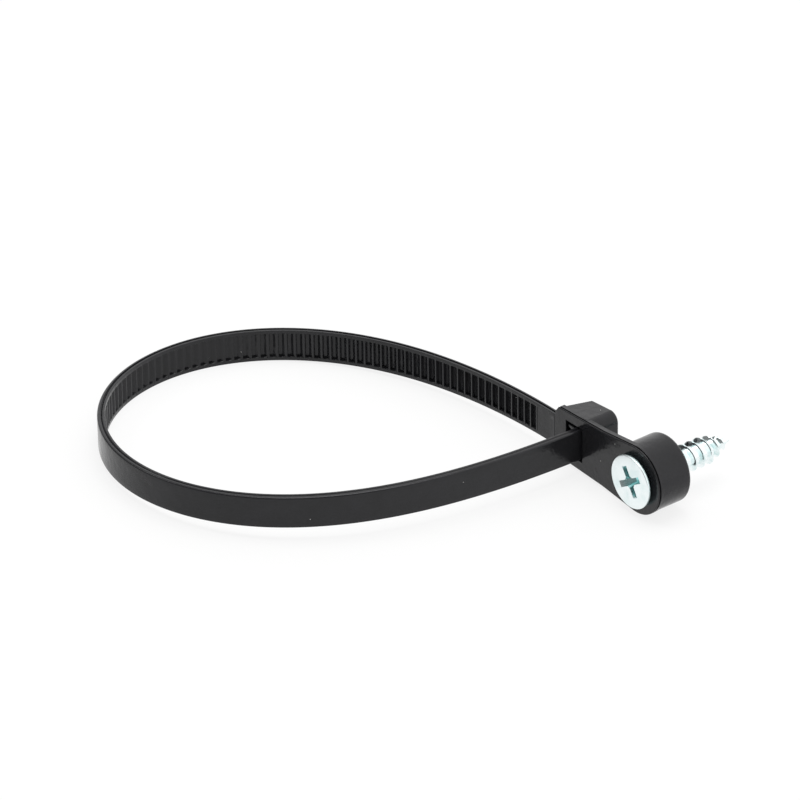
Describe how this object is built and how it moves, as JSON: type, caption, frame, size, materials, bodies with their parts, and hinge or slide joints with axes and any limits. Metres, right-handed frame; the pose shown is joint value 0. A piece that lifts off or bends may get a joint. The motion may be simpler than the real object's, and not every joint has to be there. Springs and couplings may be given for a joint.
{
  "type": "mountable head cable tie",
  "caption": "Toothed strap closed into a loop through its ratchet head, with a round screw boss and a countersunk wood screw for fixing a cable bundle to a wall.",
  "frame": {"origin": "where the screw's axis meets the rear face of the boss, which lies on the wall", "axes": "+X along the head plate from the strap to the screw, +Y along the screw into the wall, +Z along the strap's width"},
  "size_m": [0.0728, 0.0708, 0.0104],
  "materials": {
    "nylon": "satin moulded nylon",
    "zinc": "bright zinc plate"
  },
  "bodies": {
    "root": {"cable_tie": "nylon", "mounting_screw": "zinc"}
  },
  "joints": []
}
